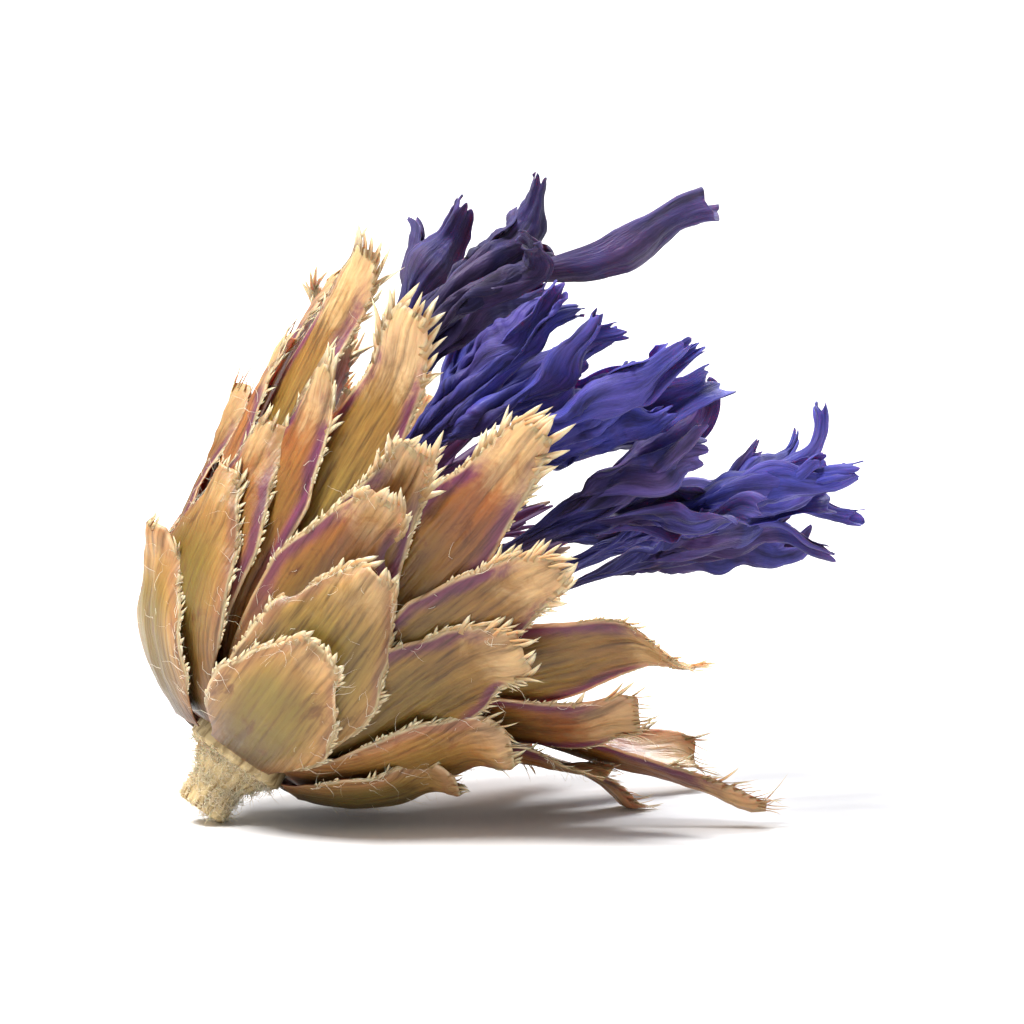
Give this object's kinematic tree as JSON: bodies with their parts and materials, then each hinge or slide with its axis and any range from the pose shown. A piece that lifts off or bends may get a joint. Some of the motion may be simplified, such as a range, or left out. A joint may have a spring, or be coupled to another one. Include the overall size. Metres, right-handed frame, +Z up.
{
  "type": "dried cornflower head",
  "caption": "Dried cornflower head on a cut stub of stem, lying tipped on its side with fringed straw bracts fanned open and crumpled blue florets in its mouth.",
  "frame": {"origin": "middle of the bounding box in plan, on the surface the head rests on", "axes": "+Z up, +X the way the open mouth leans, +Y to the left when looking along +X; the head rests on its stem stub and two lower bract tips"},
  "size_m": [0.018, 0.0156, 0.0148],
  "materials": {
    "bract_ring1_01": "dry, papery, faintly shiny",
    "bract_ring1_02": "dry, papery, faintly shiny",
    "bract_ring1_03": "dry, papery, faintly shiny",
    "bract_ring1_04": "dry, papery, faintly shiny",
    "bract_ring1_05": "dry, papery, faintly shiny",
    "bract_ring2_01": "dry, papery, faintly shiny",
    "bract_ring2_02": "dry, papery, faintly shiny",
    "bract_ring2_03": "dry, papery, faintly shiny",
    "bract_ring2_04": "dry, papery, faintly shiny",
    "bract_ring2_05": "dry, papery, faintly shiny",
    "bract_ring2_06": "dry, papery, faintly shiny",
    "bract_ring3_01": "dry, papery, faintly shiny",
    "bract_ring3_02": "dry, papery, faintly shiny",
    "bract_ring3_03": "dry, papery, faintly shiny",
    "bract_ring3_04": "dry, papery, faintly shiny",
    "bract_ring3_05": "dry, papery, faintly shiny",
    "bract_ring3_06": "dry, papery, faintly shiny",
    "bract_ring3_07": "dry, papery, faintly shiny",
    "bract_ring3_08": "dry, papery, faintly shiny",
    "bract_ring4_01": "dry, papery, faintly shiny",
    "bract_ring4_02": "dry, papery, faintly shiny",
    "bract_ring4_03": "dry, papery, faintly shiny",
    "bract_ring4_04": "dry, papery, faintly shiny",
    "bract_ring4_05": "dry, papery, faintly shiny",
    "bract_ring4_06": "dry, papery, faintly shiny",
    "bract_ring4_07": "dry, papery, faintly shiny",
    "bract_ring4_08": "dry, papery, faintly shiny",
    "bract_ring4_09": "dry, papery, faintly shiny",
    "bract_ring4_10": "dry, papery, faintly shiny",
    "bract_ring5_01": "dry, papery, faintly shiny",
    "bract_ring5_02": "dry, papery, faintly shiny",
    "bract_ring5_03": "dry, papery, faintly shiny",
    "bract_ring5_04": "dry, papery, faintly shiny",
    "bract_ring5_05": "dry, papery, faintly shiny",
    "bract_ring5_06": "dry, papery, faintly shiny",
    "bract_ring5_07": "dry, papery, faintly shiny",
    "bract_ring5_08": "dry, papery, faintly shiny",
    "bract_ring5_09": "dry, papery, faintly shiny",
    "bract_ring5_10": "dry, papery, faintly shiny",
    "disc_floret_01": "dry petal, dull",
    "disc_floret_02": "dry petal, dull",
    "disc_floret_03": "dry petal, dull",
    "disc_floret_04": "dry petal, dull",
    "disc_floret_05": "dry petal, dull",
    "disc_floret_06": "dry petal, dull",
    "disc_floret_07": "dry petal, dull",
    "disc_floret_08": "dry petal, dull",
    "ray_floret_01": "dry petal, dull",
    "ray_floret_02": "dry petal, dull",
    "ray_floret_03": "dry petal, dull",
    "ray_floret_04": "dry petal, dull",
    "ray_floret_05": "dry petal, dull",
    "ray_floret_06": "dry petal, dull",
    "ray_floret_07": "dry petal, dull",
    "ray_floret_08": "dry petal, dull",
    "ray_floret_09": "dry petal, dull",
    "ray_floret_10": "dry petal, dull",
    "ray_floret_11": "dry petal, dull",
    "receptacle": "dry, dull",
    "stem": "woolly"
  },
  "bodies": {
    "root": {"bract_ring1_01": "bract_ring1_01", "bract_ring1_02": "bract_ring1_02", "bract_ring1_03": "bract_ring1_03", "bract_ring1_04": "bract_ring1_04", "bract_ring1_05": "bract_ring1_05", "bract_ring2_01": "bract_ring2_01", "bract_ring2_02": "bract_ring2_02", "bract_ring2_03": "bract_ring2_03", "bract_ring2_04": "bract_ring2_04", "bract_ring2_05": "bract_ring2_05", "bract_ring2_06": "bract_ring2_06", "bract_ring3_01": "bract_ring3_01", "bract_ring3_02": "bract_ring3_02", "bract_ring3_03": "bract_ring3_03", "bract_ring3_04": "bract_ring3_04", "bract_ring3_05": "bract_ring3_05", "bract_ring3_06": "bract_ring3_06", "bract_ring3_07": "bract_ring3_07", "bract_ring3_08": "bract_ring3_08", "bract_ring4_01": "bract_ring4_01", "bract_ring4_02": "bract_ring4_02", "bract_ring4_03": "bract_ring4_03", "bract_ring4_04": "bract_ring4_04", "bract_ring4_05": "bract_ring4_05", "bract_ring4_06": "bract_ring4_06", "bract_ring4_07": "bract_ring4_07", "bract_ring4_08": "bract_ring4_08", "bract_ring4_09": "bract_ring4_09", "bract_ring4_10": "bract_ring4_10", "bract_ring5_01": "bract_ring5_01", "bract_ring5_02": "bract_ring5_02", "bract_ring5_03": "bract_ring5_03", "bract_ring5_04": "bract_ring5_04", "bract_ring5_05": "bract_ring5_05", "bract_ring5_06": "bract_ring5_06", "bract_ring5_07": "bract_ring5_07", "bract_ring5_08": "bract_ring5_08", "bract_ring5_09": "bract_ring5_09", "bract_ring5_10": "bract_ring5_10", "disc_floret_01": "disc_floret_01", "disc_floret_02": "disc_floret_02", "disc_floret_03": "disc_floret_03", "disc_floret_04": "disc_floret_04", "disc_floret_05": "disc_floret_05", "disc_floret_06": "disc_floret_06", "disc_floret_07": "disc_floret_07", "disc_floret_08": "disc_floret_08", "ray_floret_01": "ray_floret_01", "ray_floret_02": "ray_floret_02", "ray_floret_03": "ray_floret_03", "ray_floret_04": "ray_floret_04", "ray_floret_05": "ray_floret_05", "ray_floret_06": "ray_floret_06", "ray_floret_07": "ray_floret_07", "ray_floret_08": "ray_floret_08", "ray_floret_09": "ray_floret_09", "ray_floret_10": "ray_floret_10", "ray_floret_11": "ray_floret_11", "receptacle": "receptacle", "stem": "stem"}
  },
  "joints": []
}
